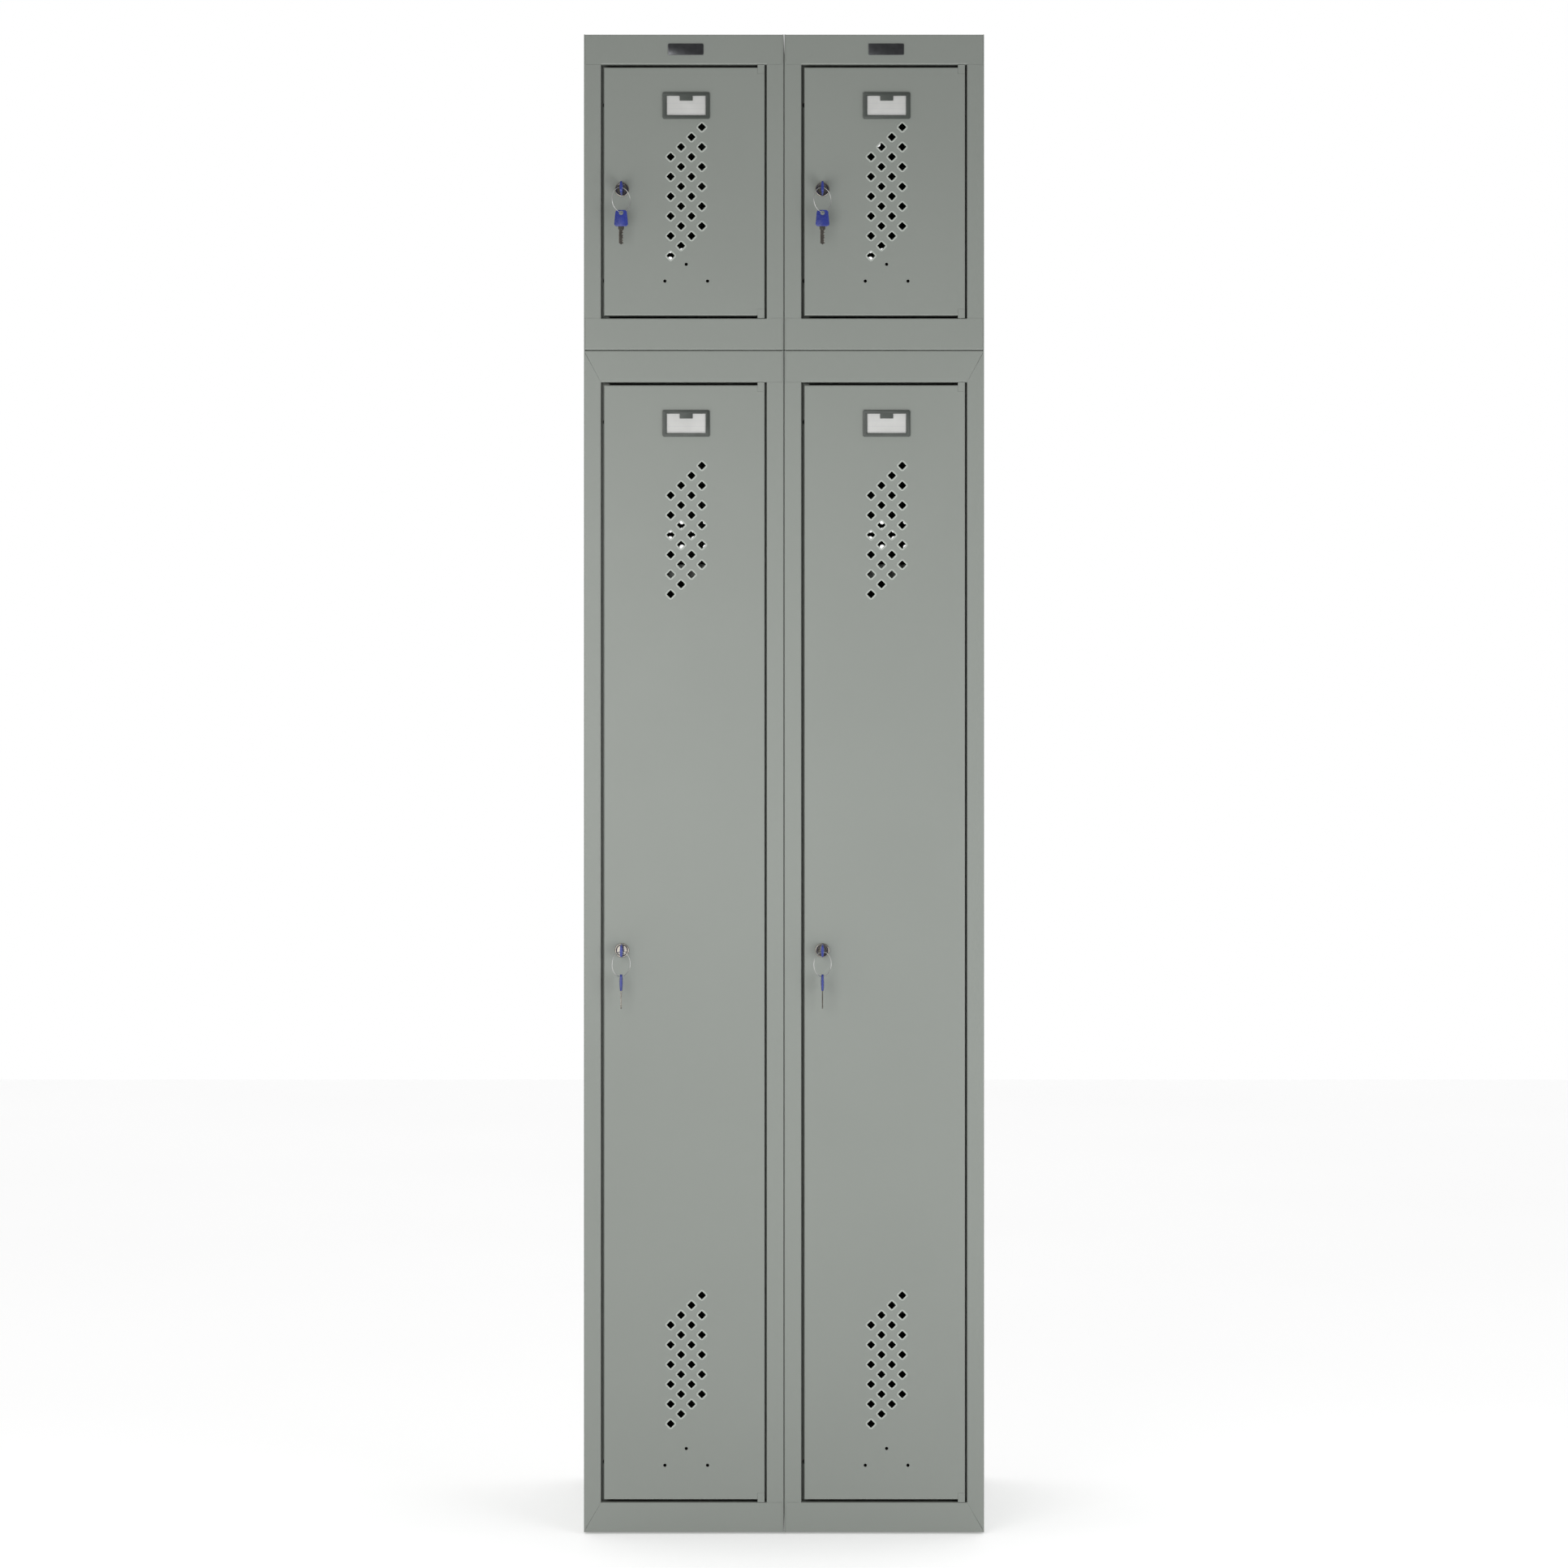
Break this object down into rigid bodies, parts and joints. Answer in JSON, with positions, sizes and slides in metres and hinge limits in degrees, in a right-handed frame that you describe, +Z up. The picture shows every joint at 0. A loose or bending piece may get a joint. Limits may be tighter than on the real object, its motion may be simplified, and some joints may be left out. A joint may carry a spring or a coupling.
{
  "type": "locker cabinet",
  "caption": "Steel locker cabinet: tall compartments under small top boxes, hinged vented doors with cam locks, keys and spare keys on rings.",
  "frame": {"origin": "on the floor, under the middle of the whole assembly's bounding box", "axes": "+Z up, doors face -Y, +X to the right seen from the front"},
  "size_m": [0.6192, 0.5432, 2.32],
  "materials": {
    "powder_coat": "grey powder coat, fine orange peel",
    "bright_steel": "zinc-plated steel",
    "nickel": "nickel-plated die casting",
    "key_plastic": "blue moulded bow, nickel blade",
    "dark_plastic": "dark grey moulded plastic",
    "rubber": "black rubber",
    "plate": "blank dark anodised plate"
  },
  "bodies": {
    "root": {"lower_left_outer_side": "powder_coat", "lower_left_inner_side": "powder_coat", "lower_right_inner_side": "powder_coat", "lower_right_outer_side": "powder_coat", "upper_left_outer_side": "powder_coat", "upper_left_inner_side": "powder_coat", "upper_right_inner_side": "powder_coat", "upper_right_outer_side": "powder_coat", "lower_left_back": "powder_coat", "lower_right_back": "powder_coat", "upper_left_back": "powder_coat", "upper_right_back": "powder_coat", "lower_floors": "powder_coat", "lower_roofs": "powder_coat", "upper_floors": "powder_coat", "upper_roofs": "powder_coat", "hat_shelves": "powder_coat", "coat_rails": "bright_steel", "coat_hooks": "bright_steel", "feet": "dark_plastic", "joining_bolts": "bright_steel", "hinge_pins": "bright_steel", "door_buffers": "rubber", "nameplates": "plate"},
    "lower_left_door": {"lower_left_door": "powder_coat", "lower_left_stiffener": "powder_coat", "lower_left_hinge_lugs": "powder_coat", "lower_left_label_holder": "dark_plastic", "lower_left_lock_barrel": "nickel"},
    "lower_left_lock": {"lower_left_lock_plug": "nickel"},
    "lower_left_key": {"lower_left_key": "key_plastic"},
    "lower_left_ring": {"lower_left_key_ring": "bright_steel"},
    "lower_left_spare": {"lower_left_spare_key": "key_plastic"},
    "lower_right_door": {"lower_right_door": "powder_coat", "lower_right_stiffener": "powder_coat", "lower_right_hinge_lugs": "powder_coat", "lower_right_label_holder": "dark_plastic", "lower_right_lock_barrel": "nickel"},
    "lower_right_lock": {"lower_right_lock_plug": "nickel"},
    "lower_right_key": {"lower_right_key": "key_plastic"},
    "lower_right_ring": {"lower_right_key_ring": "bright_steel"},
    "lower_right_spare": {"lower_right_spare_key": "key_plastic"},
    "upper_left_door": {"upper_left_door": "powder_coat", "upper_left_stiffener": "powder_coat", "upper_left_hinge_lugs": "powder_coat", "upper_left_label_holder": "dark_plastic", "upper_left_lock_barrel": "nickel"},
    "upper_left_lock": {"upper_left_lock_plug": "nickel"},
    "upper_left_key": {"upper_left_key": "key_plastic"},
    "upper_left_ring": {"upper_left_key_ring": "bright_steel"},
    "upper_left_spare": {"upper_left_spare_key": "key_plastic"},
    "upper_right_door": {"upper_right_door": "powder_coat", "upper_right_stiffener": "powder_coat", "upper_right_hinge_lugs": "powder_coat", "upper_right_label_holder": "dark_plastic", "upper_right_lock_barrel": "nickel"},
    "upper_right_lock": {"upper_right_lock_plug": "nickel"},
    "upper_right_key": {"upper_right_key": "key_plastic"},
    "upper_right_ring": {"upper_right_key_ring": "bright_steel"},
    "upper_right_spare": {"upper_right_spare_key": "key_plastic"}
  },
  "joints": [
    {"name": "lower_left_door_hinge", "type": "hinge", "parent": "root", "child": "lower_left_door", "pos_m": [-0.0359, -0.22238, 0.0538], "axis": [0, 0, 1], "range_deg": [0, 110]},
    {"name": "lower_left_lock_turn", "type": "hinge", "parent": "lower_left_door", "child": "lower_left_lock", "pos_m": [-0.2506, -0.22838, 0.9033], "axis": [0, -1, 0], "range_deg": [0, 90]},
    {"name": "lower_left_key_pull", "type": "slide", "parent": "lower_left_lock", "child": "lower_left_key", "axis": [0, -1, 0], "range_m": [0, 0.03]},
    {"name": "lower_left_ring_swing", "type": "hinge", "parent": "lower_left_key", "child": "lower_left_ring", "pos_m": [-0.2506, -0.25738, 0.9033], "axis": [-1, 0, 0], "range_deg": [-6, 25]},
    {"name": "lower_left_spare_swing", "type": "hinge", "parent": "lower_left_ring", "child": "lower_left_spare", "pos_m": [-0.2506, -0.25738, 0.8641], "axis": [-0.7071, -0.7071, 0], "range_deg": [-6, 25]},
    {"name": "lower_right_door_hinge", "type": "hinge", "parent": "root", "child": "lower_right_door", "pos_m": [0.2741, -0.22238, 0.0538], "axis": [0, 0, 1], "range_deg": [0, 110]},
    {"name": "lower_right_lock_turn", "type": "hinge", "parent": "lower_right_door", "child": "lower_right_lock", "pos_m": [0.0594, -0.22838, 0.9033], "axis": [0, -1, 0], "range_deg": [0, 90]},
    {"name": "lower_right_key_pull", "type": "slide", "parent": "lower_right_lock", "child": "lower_right_key", "axis": [0, -1, 0], "range_m": [0, 0.03]},
    {"name": "lower_right_ring_swing", "type": "hinge", "parent": "lower_right_key", "child": "lower_right_ring", "pos_m": [0.0594, -0.25738, 0.9033], "axis": [-1, 0, 0], "range_deg": [-6, 25]},
    {"name": "lower_right_spare_swing", "type": "hinge", "parent": "lower_right_ring", "child": "lower_right_spare", "pos_m": [0.0594, -0.25738, 0.8641], "axis": [-0.7071, -0.7071, 0], "range_deg": [-6, 25]},
    {"name": "upper_left_door_hinge", "type": "hinge", "parent": "root", "child": "upper_left_door", "pos_m": [-0.0359, -0.22238, 1.8855], "axis": [0, 0, 1], "range_deg": [0, 110]},
    {"name": "upper_left_lock_turn", "type": "hinge", "parent": "upper_left_door", "child": "upper_left_lock", "pos_m": [-0.2506, -0.22838, 2.08], "axis": [0, -1, 0], "range_deg": [0, 90]},
    {"name": "upper_left_key_pull", "type": "slide", "parent": "upper_left_lock", "child": "upper_left_key", "axis": [0, -1, 0], "range_m": [0, 0.03]},
    {"name": "upper_left_ring_swing", "type": "hinge", "parent": "upper_left_key", "child": "upper_left_ring", "pos_m": [-0.2506, -0.25738, 2.08], "axis": [-1, 0, 0], "range_deg": [-6, 25]},
    {"name": "upper_left_spare_swing", "type": "hinge", "parent": "upper_left_ring", "child": "upper_left_spare", "pos_m": [-0.2506, -0.25738, 2.0408], "axis": [-0.7071, -0.7071, 0], "range_deg": [-6, 25]},
    {"name": "upper_right_door_hinge", "type": "hinge", "parent": "root", "child": "upper_right_door", "pos_m": [0.2741, -0.22238, 1.8855], "axis": [0, 0, 1], "range_deg": [0, 110]},
    {"name": "upper_right_lock_turn", "type": "hinge", "parent": "upper_right_door", "child": "upper_right_lock", "pos_m": [0.0594, -0.22838, 2.08], "axis": [0, -1, 0], "range_deg": [0, 90]},
    {"name": "upper_right_key_pull", "type": "slide", "parent": "upper_right_lock", "child": "upper_right_key", "axis": [0, -1, 0], "range_m": [0, 0.03]},
    {"name": "upper_right_ring_swing", "type": "hinge", "parent": "upper_right_key", "child": "upper_right_ring", "pos_m": [0.0594, -0.25738, 2.08], "axis": [-1, 0, 0], "range_deg": [-6, 25]},
    {"name": "upper_right_spare_swing", "type": "hinge", "parent": "upper_right_ring", "child": "upper_right_spare", "pos_m": [0.0594, -0.25738, 2.0408], "axis": [-0.7071, -0.7071, 0], "range_deg": [-6, 25]}
  ]
}
